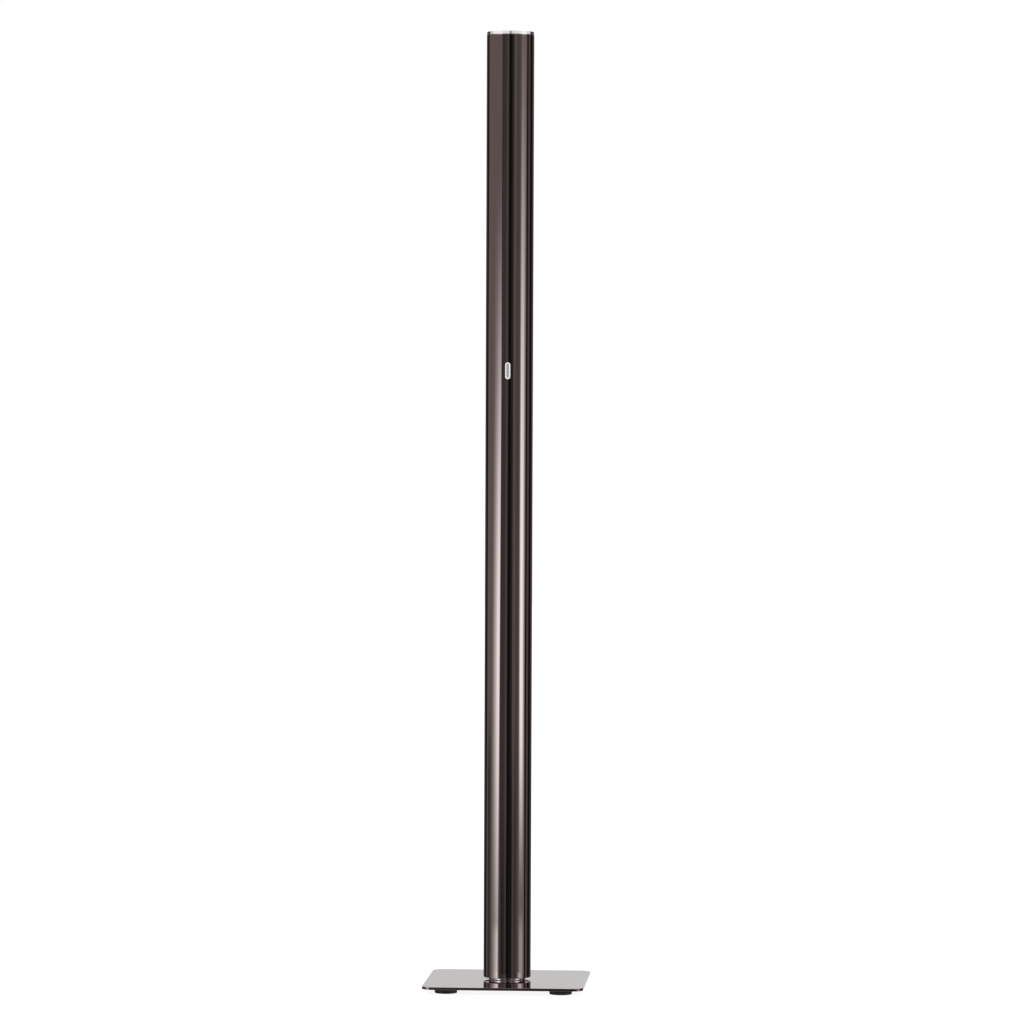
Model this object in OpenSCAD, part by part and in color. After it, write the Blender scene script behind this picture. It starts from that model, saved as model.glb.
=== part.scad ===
// Floor-standing uplighter: a square plate on four pads, a plain round column with a push key at
// chest height, and a lamp head that shines up out of the column's open top.
// Millimetres, +Z up, origin on the floor under the middle of the plate, front towards -Y.

/* [Overall] */
// Height from the floor to the rim of the top ring
overall_h = 1750; // [1650:10:1900]

/* [Base] */
// Side of the square base plate
plate_w = 293; // [260:1:340]
// Thickness of the base plate
plate_t = 5; // [4.5:0.5:8]
// Corner radius of the base plate, seen from above
plate_corner_r = 20; // [10:1:25]
// Diameter of a foot pad
foot_d = 41; // [30:1:48]
// Height of a foot pad
foot_h = 9.5; // [7:0.5:14]
// From the plate's edge to the middle of a foot pad
foot_inset = 42; // [30:1:55]

/* [Neck] */
// Diameter of the neck that shows between plate and column
neck_d = 67.5; // [60:0.5:67.5]
// Height of the gap between plate and column
neck_gap = 4.5; // [3:0.5:10]

/* [Column] */
// Outside diameter of the column
column_d = 87; // [87:1:92]
// Wall thickness of the column
column_wall = 2.5; // [2:0.1:2.6]

/* [Head] */
// Height of the top ring that shows above the column
ring_h = 5.5; // [4.5:0.5:9]
// Thickness of the glass
glass_t = 3; // [2:0.5:4]
// Depth of the reflector bowl
bowl_h = 40; // [30:1:50]
// Number of cooling fins
fin_count = 24; // [12:1:28]

/* [Control] */
// Height of the key's middle above the floor
control_h = 1131; // [1120:1:1250]
// Length of the bezel around the key
bezel_l = 30.5; // [29:0.5:36]
// Width of the bezel around the key
bezel_w = 9.5; // [9:0.5:12]
// How far the key goes in
key_travel = 0.8; // [0.4:0.1:1]

/* [Hidden] */
$fn = 96;
fit = 0.1;            // clearance of a screw or an inner piece in its seat
cut = 1;              // how far a cutting shape runs past a face

column_r = column_d / 2;
bore_r = column_r - column_wall;

// Levels, from the floor up
plate_top = foot_h + plate_t;
column_z0 = plate_top + neck_gap;
shelf_z = overall_h - ring_h;            // the ring's inner shelf, level with its lower edge outside
ring_gap = 0.4;                          // the joint line that shows under the ring
column_z1 = shelf_z - ring_gap;
flange_t = 6;                            // thickness of the ring's shelf and of the heat sink's flange
sink_top = shelf_z - flange_t - 0.2;
port_top = sink_top - flange_t - 0.2;    // the ports are machined back to here
hub_top = column_z0 + 10;
port_bottom = hub_top + 0.2;

// Screw ports along the inside of the column, which take the screws of both ends
port_angles = [30, 150, 210, 330];
port_hole_r = 1.8;
port_boss_r = 4.4;
port_centre_r = bore_r - 3.8;

// Card guides along the inside of the column, which hold the trays
guide_y = -25;
tray_t = 1.5;
guide_gap = tray_t + 0.2;
guide_rib = 1.2;
guide_x = 28.5;
tray_w = 62;
tray_h = 340;
tray_foot = 18;

// Base screws, foot screws and hub
base_screw_pcd = 46;
base_screw_r = 3;
foot_screw_r = 2;
foot_pitch = plate_w - 2 * foot_inset;
hub_flange_r = bore_r - 0.2;
hub_spigot_top = column_z0 + 1;

// Cord gland at the back of the column
gland_z = plate_top + 36;
gland_bore_r = 3.6;
gland_r = 5;
gland_flange_r = 8;

// Head
ring_seat_r = bore_r - 0.4;               // clears the heads of the screws in the shelf
mouth_r = 32.5;
glass_r = ring_seat_r - 0.3;
sheet_t = 0.6;
bowl_top_r = 31;
bowl_foot_r = 9.5;
gasket_t = 1;
cup_r = 32.2;
cup_wall = 1;
holder_t = 4.5;
sink_floor_z = shelf_z - bowl_h - holder_t;
sink_floor_t = 6;
fin_h = 58;
fin_t = 1.4;
led_side = 24;
led_t = 1.5;
emitter_d = 15;
emitter_t = 0.6;
holder_r = 19;

// Control: depths along Y at the front of the column
bezel_face_y = -column_r - 1.5;
bezel_end_y = -39.5;
sleeve_l = 27;
sleeve_w = 6;
key_l = 25;
key_w = 4;
key_gap = 0.2;
key_face_y = bezel_face_y + 0.4;
key_flange_y = bezel_end_y + 0.1;
key_back_y = key_flange_y + 1;
switch_face_y = -36;
switch_d = 3.5;
switch_side = 6;
board_y = switch_face_y + switch_d;
board_t = 1.6;
board_w = 30;
board_h = 50;
carrier_h = 66;
connector_w = 8;
standoff_x = 11;
standoff_z = 20;
plunger_r = 1.6;

// Driver and terminal block, on the lower tray
driver_z0 = hub_top + 112;
driver_size = [50, 30, 150];
driver_y0 = guide_y + tray_t / 2;
terminal_z = hub_top + 60;
terminal_size = [36, 14, 20];
input_x = 10;                            // where the input lead meets the block and the driver

// Inner leads: the points of their routes, then their thickness
lead_r = 2.2;
lead_sides = 10;
clip_y = 35.5;
clip_x = 4;
clip_levels = [460, 700, 940];
upper_clip_levels = [1240, 1480];
driver_top = driver_z0 + driver_size[2];
led_lead_end_z = sink_floor_z + 2.4;
led_lead_route = [[clip_x, -10, driver_top], [clip_x, -10, driver_top + 14], [clip_x, -2, driver_top + 34],
    [clip_x, 16, driver_top + 60], [clip_x, 30, driver_top + 84], [clip_x, clip_y, driver_top + 110],
    [clip_x, clip_y, 600], [clip_x, clip_y, 900], [clip_x, clip_y, 1200], [clip_x, clip_y, sink_floor_z - 60],
    [clip_x, clip_y, sink_floor_z - 12], [clip_x, 34.2, sink_floor_z - 3], [clip_x, 30.5, sink_floor_z + 1.4],
    [clip_x, 26, led_lead_end_z], [clip_x, 19, led_lead_end_z]];
board_back_y = board_y + board_t;
plug_z = control_h - 16;
control_lead_route = [[-clip_x, -10, driver_top], [-clip_x, -10, driver_top + 14], [-clip_x, -2, driver_top + 34],
    [-clip_x, 16, driver_top + 60], [-clip_x, 30, driver_top + 84], [-clip_x, clip_y, driver_top + 110],
    [-clip_x, clip_y, 600], [-clip_x, clip_y, 900], [-clip_x, clip_y, 1000], [-clip_x, 34, 1030],
    [-clip_x, 24, 1060], [-clip_x, 6, 1090], [-clip_x, -10, plug_z - 8], [-clip_x, -17, plug_z - 1],
    [-clip_x, -21, plug_z], [-clip_x, -26.4, plug_z]];
input_lead_route = [[input_x, -17, terminal_z + terminal_size[2]], [input_x, -17, terminal_z + 26],
    [input_x, -15, terminal_z + 33], [input_x, -12, terminal_z + 40], [input_x, -10, terminal_z + 46],
    [input_x, -10, driver_z0]];

// Finishes
black_chrome = [0.17, 0.15, 0.15];
bright_chrome = [0.80, 0.80, 0.81];
satin_chrome = [0.86, 0.86, 0.85];
rubber_black = [0.09, 0.08, 0.09];
steel = [0.62, 0.62, 0.63];
zinc = [0.70, 0.71, 0.72];
aluminium = [0.75, 0.76, 0.77];
plastic_black = [0.07, 0.07, 0.07];
plastic_white = [0.90, 0.90, 0.88];
plastic_grey = [0.62, 0.62, 0.62];
board_green = [0.08, 0.30, 0.18];
phosphor = [0.95, 0.83, 0.35];
mirror_silver = [0.90, 0.90, 0.91];
clear_glass = [0.86, 0.92, 0.92, 0.35];

// ---- shapes that repeat ----

// A square with round corners
module rounded_square(w, r) {
    square([w, w - 2 * r], center = true);
    square([w - 2 * r, w], center = true);
    for (x = [-1, 1], y = [-1, 1])
        translate([x * (w / 2 - r), y * (w / 2 - r)])
            circle(r);
}

// A cylinder that runs along +Y from y0 to y1
module rod_y(r, y0, y1) {
    translate([0, y0, 0])
        rotate([-90, 0, 0])
            cylinder(r = r, h = y1 - y0);
}

// A slot shape, long along Z, that runs along +Y from y0 to y1
module slot_y(l, w, y0, y1) {
    for (z = [-1, 1])
        translate([0, 0, z * (l - w) / 2])
            rod_y(w / 2, y0, y1);
    translate([-w / 2, y0, -(l - w) / 2])
        cube([w, y1 - y0, l - w]);
}

// Places its children at one foot: side is -1 on the left, end is -1 at the front
module at_foot(side, end) {
    translate([side * foot_pitch / 2, end * foot_pitch / 2, 0])
        children();
}

// Places its children at the four feet
module at_feet() {
    for (side = [-1, 1], end = [-1, 1])
        at_foot(side, end)
            children();
}

// Places its children at the four base screws
module at_base_screws() {
    for (a = [45 : 90 : 315])
        rotate([0, 0, a])
            translate([base_screw_pcd / 2, 0, 0])
                children();
}

// Places its children at the column's screw ports
module at_ports() {
    for (a = port_angles)
        rotate([0, 0, a])
            translate([port_centre_r, 0, 0])
                children();
}

// A countersunk screw: its head's face at z = 0, its shank going down, with a hexagon socket
module sunk_screw(r, head_r, length) {
    sink = head_r - r;
    difference() {
        union() {
            translate([0, 0, -length])
                cylinder(r = r, h = length);
            translate([0, 0, -sink])
                cylinder(r1 = r, r2 = head_r, h = sink);
        }
        translate([0, 0, -0.8 * sink])
            cylinder(r = 0.8 * r, h = 0.8 * sink + cut, $fn = 6);
    }
}

// The hole for that screw, with its face at z = 0
module sunk_hole(r, head_r, length) {
    sink = head_r - r;
    translate([0, 0, -length])
        cylinder(r = r + fit, h = length + cut);
    translate([0, 0, -sink])
        cylinder(r1 = r + fit, r2 = head_r + fit, h = sink);
    cylinder(r = head_r + fit, h = cut);
}

// A pan-head screw: the underside of its head at z = 0, its shank going down
module pan_screw(r, head_r, head_t, length) {
    difference() {
        union() {
            translate([0, 0, -length])
                cylinder(r = r, h = length);
            cylinder(r = head_r, h = head_t);
        }
        for (a = [0, 90])
            rotate([0, 0, a])
                translate([-0.7 * head_r, -0.2 * r, head_t * 0.4])
                    cube([1.4 * head_r, 0.4 * r, head_t]);
    }
}

function cross3(a, b) = [a[1] * b[2] - a[2] * b[1], a[2] * b[0] - a[0] * b[2], a[0] * b[1] - a[1] * b[0]];
function unit(v) = v / norm(v);
function spline(p0, p1, p2, p3, t) = 0.5 * ((2 * p1) + (p2 - p0) * t
    + (2 * p0 - 5 * p1 + 4 * p2 - p3) * t * t + (3 * p1 - p0 - 3 * p2 + p3) * t * t * t);

// The route's points with the stretches between them filled in, closer where the route bends
function smooth_route(p, steps) = [for (i = [0 : len(p) - 2])
    let (a = p[max(i - 1, 0)], d = p[min(i + 2, len(p) - 1)], long = norm(p[i + 1] - p[i]) > 100)
    for (k = [0 : (long ? 1 : steps) - 1])
        long ? p[i] : spline(a, p[i], p[i + 1], d, k / steps), p[len(p) - 1]];

// A round lead swept along a route that stays in one plane of constant X
module lead(route) {
    path = smooth_route(route, 3);
    n = len(path);
    side = [1, 0, 0];
    rings = [for (i = [0 : n - 1])
        let (along = unit(path[min(i + 1, n - 1)] - path[max(i - 1, 0)]), up = cross3(along, side))
        for (k = [0 : lead_sides - 1])
            let (a = 360 * k / lead_sides)
            path[i] + lead_r * (cos(a) * side + sin(a) * up)];
    walls = [for (i = [0 : n - 2], k = [0 : lead_sides - 1])
        let (j = (k + 1) % lead_sides, base = i * lead_sides)
        for (half = [0, 1])
            half == 0 ? [base + k, base + lead_sides + j, base + j]
                      : [base + k, base + lead_sides + k, base + lead_sides + j]];
    caps = [[for (k = [0 : lead_sides - 1]) k],
            [for (k = [0 : lead_sides - 1]) n * lead_sides - 1 - k]];
    polyhedron(points = rings, faces = concat(walls, caps));
}

// ---- base ----

module base_plate() {
    color(black_chrome)
    difference() {
        translate([0, 0, foot_h])
            linear_extrude(plate_t)
                rounded_square(plate_w, plate_corner_r);
        translate([0, 0, foot_h])
            mirror([0, 0, 1])
                at_base_screws()
                    sunk_hole(base_screw_r, 2 * base_screw_r, plate_t + cut);
        at_feet()
            translate([0, 0, foot_h - cut])
                cylinder(r = foot_screw_r + fit, h = plate_t - 1.5 + cut);
    }
}

module foot_pad() {
    recess = foot_h / 2;
    color(rubber_black)
        rotate_extrude()
            polygon([[5, 0], [foot_d / 2 - 1, 0], [foot_d / 2, 1], [foot_d / 2, foot_h],
                     [foot_screw_r + fit, foot_h], [foot_screw_r + fit, recess], [5, recess]]);
}

module foot_screws() {
    color(steel)
    at_feet()
        translate([0, 0, foot_h / 2])
            mirror([0, 0, 1])
                pan_screw(foot_screw_r, 4, 2.4, foot_h / 2 + plate_t - 2);
}

module base_screws() {
    color(steel)
    translate([0, 0, foot_h])
        mirror([0, 0, 1])
            at_base_screws()
                sunk_screw(base_screw_r, 2 * base_screw_r, plate_t + neck_gap + 8);
}

// ---- column ----

module neck_hub() {
    color(bright_chrome)
    difference() {
        union() {
            translate([0, 0, plate_top])
                cylinder(d = neck_d, h = hub_spigot_top - plate_top);
            translate([0, 0, hub_spigot_top])
                cylinder(r = hub_flange_r, h = hub_top - hub_spigot_top);
        }
        translate([0, 0, plate_top - cut])
            at_base_screws()
                cylinder(r = base_screw_r + fit, h = neck_gap + 9 + cut);
        translate([0, 0, hub_spigot_top])
            mirror([0, 0, 1])
                at_ports()
                    sunk_hole(port_hole_r - 0.1, 3.2, hub_top - hub_spigot_top + cut);
        for (x = [-1, 1])
            translate([x * 8, guide_y + tray_foot - 6, hub_top - 6])
                cylinder(r = 1.5 + fit, h = 6 + cut);
    }
}

module hub_screws() {
    color(steel)
    translate([0, 0, hub_spigot_top])
        mirror([0, 0, 1])
            at_ports()
                sunk_screw(port_hole_r - 0.1, 3.2, 22);
}

// One side's card guide, as two ribs with the tray's edge between them
module guide_ribs() {
    for (y = [guide_y - guide_gap / 2 - guide_rib, guide_y + guide_gap / 2])
        translate([guide_x, y])
            square([bore_r - guide_x + 1, guide_rib]);
}

module column_features() {
    intersection() {
        circle(bore_r + column_wall / 2);
        union() {
            difference() {
                at_ports()
                    circle(port_boss_r);
                at_ports()
                    circle(port_hole_r);
            }
            guide_ribs();
            mirror([1, 0])
                guide_ribs();
        }
    }
}

module column_tube() {
    color(black_chrome)
    difference() {
        union() {
            translate([0, 0, column_z0])
                linear_extrude(column_z1 - column_z0)
                    difference() {
                        circle(column_r);
                        circle(bore_r);
                    }
            translate([0, 0, port_bottom])
                linear_extrude(port_top - port_bottom)
                    column_features();
        }
        translate([0, 0, control_h])
            slot_y(sleeve_l + 2 * fit, sleeve_w + 2 * fit, -column_r - cut, -bore_r + 2);
        translate([0, 0, gland_z])
            rod_y(gland_r + fit, bore_r - 2, column_r + cut);
    }
}

module cord_gland() {
    color(plastic_black)
    translate([0, 0, gland_z])
        difference() {
            union() {
                rod_y(gland_r, bore_r - 4.5, column_r + 2);
                difference() {
                    rod_y(gland_flange_r, column_r - 1.5, column_r + 2);
                    translate([0, 0, -2 * gland_flange_r])
                        cylinder(r = column_r + 0.05, h = 4 * gland_flange_r);
                }
            }
            rod_y(gland_bore_r, bore_r - 6, column_r + 4);
        }
}

module gland_nut() {
    color(plastic_black)
    translate([0, 0, gland_z])
        difference() {
            translate([0, bore_r - 3.9, 0])
                rotate([-90, 0, 0])
                    cylinder(r = 8, h = 3, $fn = 6);
            rod_y(gland_r + 0.05, bore_r - 6, column_r);
        }
}

// ---- driver tray in the foot of the column ----

module electronics_tray() {
    color(zinc)
    difference() {
        union() {
            translate([-tray_w / 2, guide_y - tray_t / 2, port_bottom])
                cube([tray_w, tray_t, tray_h]);
            translate([-14, guide_y - tray_t / 2, hub_top])
                cube([28, tray_foot, tray_t]);
            translate([-14, guide_y - tray_t / 2, hub_top])
                cube([28, tray_t, 4]);
        }
        for (x = [-1, 1])
            translate([x * 8, guide_y + tray_foot - 6, hub_top - cut])
                cylinder(r = 1.5 + fit, h = tray_t + 2 * cut);
        for (z = [driver_z0 - 6, driver_top + 6], x = [-1, 1])
            translate([x * 17, 0, z])
                rod_y(1.5 + fit, guide_y - 3, guide_y + 3);
        for (x = [-1, 1])
            translate([x * 13, 0, terminal_z + terminal_size[2] / 2])
                rod_y(1.5 + fit, guide_y - 3, guide_y + 3);
        translate([-22, 0, terminal_z - 14])
            rod_y(2 + fit, guide_y - 3, guide_y + 3);
    }
}

module tray_screws() {
    color(steel)
    for (x = [-1, 1])
        translate([x * 8, guide_y + tray_foot - 6, hub_top + tray_t])
            pan_screw(1.5, 2.8, 2, 6.5);
}

module led_driver() {
    tab = 12;
    color(plastic_white)
    difference() {
        union() {
            translate([-driver_size[0] / 2, driver_y0, driver_z0])
                cube(driver_size);
            translate([-driver_size[0] / 2, driver_y0, driver_z0 - tab])
                cube([driver_size[0], 3, driver_size[2] + 2 * tab]);
        }
        for (z = [driver_z0 - 6, driver_top + 6], x = [-1, 1])
            translate([x * 17, 0, z])
                rod_y(1.5 + fit, driver_y0 - 1, driver_y0 + 4);
        for (z = [driver_z0 + 14, driver_top - 18])
            translate([-15, driver_y0 + driver_size[1] - 1, z])
                cube([30, 2, 4]);
    }
}

module driver_screws() {
    color(steel)
    for (z = [driver_z0 - 6, driver_top + 6], x = [-1, 1])
        translate([x * 17, driver_y0 + 3, z])
            rotate([-90, 0, 0])
                pan_screw(1.5, 2.8, 2, 7);
}

module terminal_block() {
    color(plastic_grey)
    translate([0, driver_y0, terminal_z])
        difference() {
            translate([-terminal_size[0] / 2, 0, 0])
                cube([terminal_size[0], terminal_size[1], terminal_size[2]]);
            for (x = [-10, 0, 10], z = [5, 15])
                translate([x, 0, z])
                    rod_y(2.2, 9, terminal_size[1] + cut);
            for (x = [-1, 1])
                translate([x * 13, 0, terminal_size[2] / 2])
                    rod_y(1.5 + fit, -cut, terminal_size[1] + cut);
        }
}

module terminal_screws() {
    color(steel)
    for (x = [-1, 1])
        translate([x * 13, driver_y0 + terminal_size[1], terminal_z + terminal_size[2] / 2])
            rotate([-90, 0, 0])
                pan_screw(1.5, 2.4, 1.6, terminal_size[1] + 3);
}

module earth_screw() {
    color(steel)
    translate([-22, driver_y0, terminal_z - 14])
        rotate([-90, 0, 0])
            pan_screw(2, 4, 2.4, 5);
}

// ---- inner leads ----

module input_lead() {
    color(plastic_white)
    lead(input_lead_route);
}

module led_lead() {
    color(plastic_white)
    lead(led_lead_route);
}

module control_lead() {
    color(plastic_grey)
    lead(control_lead_route);
}

// A glued saddle on the column's back wall, with a hole for each lead that it holds
module lead_clip(sides) {
    half_w = 8;
    difference() {
        intersection() {
            translate([-half_w, clip_y - lead_r - 1.5, -5])
                cube([2 * half_w, bore_r, 10]);
            translate([0, 0, -5])
                cylinder(r = bore_r - 0.05, h = 10);
        }
        for (s = sides)
            translate([s * clip_x, clip_y, -6])
                cylinder(r = lead_r + fit, h = 12);
    }
}

module lead_clips() {
    color(plastic_black) {
        for (z = clip_levels)
            translate([0, 0, z])
                lead_clip([-1, 1]);
        for (z = upper_clip_levels)
            translate([0, 0, z])
                lead_clip([1]);
    }
}

// ---- control ----

module control_bezel() {
    color(satin_chrome)
    translate([0, 0, control_h])
        difference() {
            union() {
                difference() {
                    slot_y(bezel_l, bezel_w, bezel_face_y, -column_r + 1);
                    translate([0, 0, -bezel_l])
                        cylinder(r = column_r + 0.05, h = 2 * bezel_l);
                }
                slot_y(sleeve_l, sleeve_w, bezel_face_y + 0.5, bezel_end_y);
            }
            slot_y(key_l + 2 * key_gap, key_w + 2 * key_gap, bezel_face_y - cut, bezel_end_y + cut);
        }
}

module control_key() {
    color(plastic_grey)
    translate([0, 0, control_h]) {
        slot_y(key_l, key_w, key_face_y, key_back_y);
        slot_y(key_l + 1.6, key_w + 1.6, key_flange_y, key_back_y);
    }
}

module switch_plunger() {
    color(plastic_black)
    translate([0, 0, control_h])
        rod_y(plunger_r, key_back_y, switch_face_y + 0.8);
}

module switch_body() {
    color(plastic_black)
    translate([0, 0, control_h])
        difference() {
            translate([-switch_side / 2, switch_face_y, -switch_side / 2])
                cube([switch_side, switch_d, switch_side]);
            rod_y(plunger_r + 0.3, switch_face_y - cut, switch_face_y + 2.2);
        }
}

module control_board() {
    color(board_green)
    translate([0, 0, control_h])
        difference() {
            translate([-board_w / 2, board_y, -board_h / 2])
                cube([board_w, board_t, board_h]);
            for (x = [-1, 1], z = [-1, 1])
                translate([x * standoff_x, 0, z * standoff_z])
                    rod_y(1.25 + fit, board_y - cut, board_y + board_t + cut);
        }
}

module board_connector() {
    color(plastic_white)
    translate([-clip_x - connector_w / 2, board_back_y, plug_z - 4])
        cube([connector_w, 4.5, 8]);
}

module indicator_leds() {
    color(plastic_white)
    for (z = [-1, 1])
        translate([-1, board_y - 1, control_h + z * 9 - 1])
            cube([2, 1, 2]);
}

module board_standoffs() {
    color(zinc)
    for (x = [-1, 1], z = [-1, 1])
        translate([x * standoff_x, 0, control_h + z * standoff_z])
            difference() {
                rod_y(2.5, board_back_y, guide_y - tray_t / 2);
                rod_y(1.25 + fit, board_back_y - cut, guide_y + cut);
            }
}

module board_screws() {
    color(steel)
    for (x = [-1, 1], z = [-1, 1])
        translate([x * standoff_x, board_y, control_h + z * standoff_z])
            rotate([90, 0, 0])
                pan_screw(1.25, 2.2, 1.4, 8.5);
}

module control_carrier() {
    color(zinc)
    difference() {
        translate([-tray_w / 2, guide_y - tray_t / 2, control_h - carrier_h / 2])
            cube([tray_w, tray_t, carrier_h]);
        for (x = [-1, 1], z = [-1, 1])
            translate([x * standoff_x, 0, control_h + z * standoff_z])
                rod_y(1.25 + fit, guide_y - 3, guide_y + 3);
        translate([-clip_x - connector_w / 2 - 0.5, guide_y - 3, plug_z - 4.5])
            cube([connector_w + 1, 6, 9]);
    }
}

// ---- head ----

module heat_sink() {
    fin_z0 = sink_floor_z - sink_floor_t - fin_h;
    color(aluminium)
    difference() {
        union() {
            translate([0, 0, sink_top - flange_t])
                cylinder(r = hub_flange_r, h = flange_t);
            translate([0, 0, sink_floor_z - sink_floor_t])
                cylinder(r = cup_r, h = sink_top - sink_floor_z + sink_floor_t);
            translate([0, 0, fin_z0])
                cylinder(r = 9, h = fin_h + 1);
            for (i = [0 : fin_count - 1])
                rotate([0, 0, (i + 0.5) * 360 / fin_count])
                    translate([8, -fin_t / 2, fin_z0])
                        cube([cup_r - 9, fin_t, fin_h + 1]);
        }
        translate([0, 0, sink_floor_z])
            cylinder(r = cup_r - cup_wall, h = sink_top);
        translate([0, 0, sink_top])
            at_ports()
                translate([0, 0, -flange_t - cut])
                    cylinder(r = port_hole_r, h = flange_t + 2 * cut);
        translate([clip_x, 0, led_lead_end_z])
            rod_y(lead_r + 0.6, 20, 34);
        translate([clip_x, 0, sink_floor_z - 1])
            rod_y(lead_r + 0.6, 27, 34);
        for (x = [-1, 1])
            translate([x * 15.5, 0, sink_floor_z - 5])
                cylinder(r = 1.25 + fit, h = 5 + cut);
    }
}

module head_screws() {
    color(steel)
    translate([0, 0, shelf_z])
        at_ports()
            sunk_screw(port_hole_r - 0.1, 3.2, 24);
}

module led_board() {
    color(zinc)
    translate([-led_side / 2, -led_side / 2, sink_floor_z])
        cube([led_side, led_side, led_t]);
}

module led_emitter() {
    color(phosphor)
    translate([0, 0, sink_floor_z + led_t])
        cylinder(d = emitter_d, h = emitter_t);
}

module led_holder() {
    color(plastic_white)
    difference() {
        translate([0, 0, sink_floor_z])
            cylinder(r = holder_r, h = holder_t);
        translate([-led_side / 2 - fit, -led_side / 2 - fit, sink_floor_z - cut])
            cube([led_side + 2 * fit, led_side + 2 * fit, cut + led_t + fit]);
        translate([0, 0, sink_floor_z])
            cylinder(r1 = bowl_foot_r - 1, r2 = bowl_foot_r, h = holder_t + 0.01);
        for (x = [-1, 1])
            translate([x * 15.5, 0, sink_floor_z - cut]) {
                cylinder(r = 1.25 + fit, h = holder_t + 2 * cut);
                translate([0, 0, cut + holder_t - 2])
                    cylinder(r = 2.6, h = 3);
            }
    }
}

module holder_screws() {
    color(steel)
    for (x = [-1, 1])
        translate([x * 15.5, 0, sink_floor_z + holder_t - 2])
            pan_screw(1.25, 2.2, 1.4, holder_t + 2);
}

// Inner radius of the bowl at a share t of its depth, from the emitter up
function bowl_r(t) = bowl_foot_r + (bowl_top_r - bowl_foot_r) * sqrt(t);

module reflector() {
    steps = 12;
    z0 = sink_floor_z + holder_t;
    inner = [for (i = [0 : steps]) let (t = pow(i / steps, 2)) [bowl_r(t), z0 + t * bowl_h]];
    outer = [for (i = [steps : -1 : 0]) let (t = pow(i / steps, 2))
        [bowl_r(t) + sheet_t, z0 + t * bowl_h]];
    color(mirror_silver) {
        rotate_extrude()
            polygon(concat(inner, outer));
        translate([0, 0, shelf_z])
            linear_extrude(sheet_t)
                difference() {
                    circle(ring_seat_r - 0.2);
                    circle(bowl_top_r);
                }
    }
}

module glass_gasket() {
    color(rubber_black)
    translate([0, 0, shelf_z + sheet_t])
        linear_extrude(gasket_t)
            difference() {
                circle(ring_seat_r - 0.2);
                circle(ring_seat_r - 2);
            }
}

module glass_disc() {
    color(clear_glass)
    translate([0, 0, shelf_z + sheet_t + gasket_t])
        cylinder(r = glass_r, h = min(glass_t, ring_h - sheet_t - gasket_t - 0.2));
}

module top_ring() {
    color(bright_chrome)
    difference() {
        union() {
            translate([0, 0, shelf_z])
                cylinder(r = column_r, h = ring_h);
            translate([0, 0, shelf_z - flange_t])
                cylinder(r = hub_flange_r, h = flange_t + cut);
        }
        translate([0, 0, shelf_z])
            cylinder(r = ring_seat_r, h = ring_h + cut);
        translate([0, 0, shelf_z - flange_t - cut])
            cylinder(r = mouth_r, h = flange_t + 2 * cut);
        translate([0, 0, shelf_z])
            at_ports()
                sunk_hole(port_hole_r - 0.1, 3.2, flange_t + cut);
    }
}

base_plate();
at_foot(-1, -1) foot_pad();  // foot_pad_front_left
at_foot(1, -1) foot_pad();  // foot_pad_front_right
at_foot(-1, 1) foot_pad();  // foot_pad_rear_left
at_foot(1, 1) foot_pad();  // foot_pad_rear_right
foot_screws();
base_screws();
neck_hub();
hub_screws();
column_tube();
cord_gland();
gland_nut();
electronics_tray();
tray_screws();
led_driver();
driver_screws();
terminal_block();
terminal_screws();
earth_screw();
input_lead();
led_lead();
control_lead();
lead_clips();
control_bezel();
control_key();
switch_plunger();
switch_body();
control_board();
board_connector();
indicator_leds();
board_standoffs();
board_screws();
control_carrier();
heat_sink();
head_screws();
led_board();
led_emitter();
led_holder();
holder_screws();
reflector();
glass_gasket();
glass_disc();
top_ring();
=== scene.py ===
# %% [markdown]
# # A floor uplighter in black chrome
# The lamp is a round column of black-chromed aluminium on a square mirror plate with four rubber pads.
# A chrome bezel at chest height holds the push key, and a bright ring closes the top round the glass.
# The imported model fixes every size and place. Here each visible piece is modelled again with soft
# edges and a fine round, and every piece gets a finish made of nodes.

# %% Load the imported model
import math

import bmesh
import bpy
from mathutils import Matrix, Vector


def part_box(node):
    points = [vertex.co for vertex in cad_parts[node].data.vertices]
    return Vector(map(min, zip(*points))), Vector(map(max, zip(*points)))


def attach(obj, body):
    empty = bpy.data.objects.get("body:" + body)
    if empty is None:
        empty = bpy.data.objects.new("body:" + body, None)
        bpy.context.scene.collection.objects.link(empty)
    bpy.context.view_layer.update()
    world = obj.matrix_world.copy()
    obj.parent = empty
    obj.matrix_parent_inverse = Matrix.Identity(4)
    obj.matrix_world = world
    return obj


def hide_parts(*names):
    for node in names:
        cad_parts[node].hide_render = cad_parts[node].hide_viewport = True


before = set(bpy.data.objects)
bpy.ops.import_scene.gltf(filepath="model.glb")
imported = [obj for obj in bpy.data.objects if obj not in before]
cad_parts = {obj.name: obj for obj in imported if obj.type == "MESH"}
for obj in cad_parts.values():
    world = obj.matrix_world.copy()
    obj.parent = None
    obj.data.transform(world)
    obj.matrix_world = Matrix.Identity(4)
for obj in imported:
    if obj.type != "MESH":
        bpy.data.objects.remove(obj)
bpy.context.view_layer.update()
MM = 0.001

# %% [markdown]
# ## The view
# The lamp is tall and slim, so it is seen from far away with a long lens: the column's sides then
# stay nearly parallel. The lens is at about chest height and looks slightly down, which lets the top
# of the plate show as a thin bright shape. The front of the lamp is turned a few degrees away.

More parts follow.
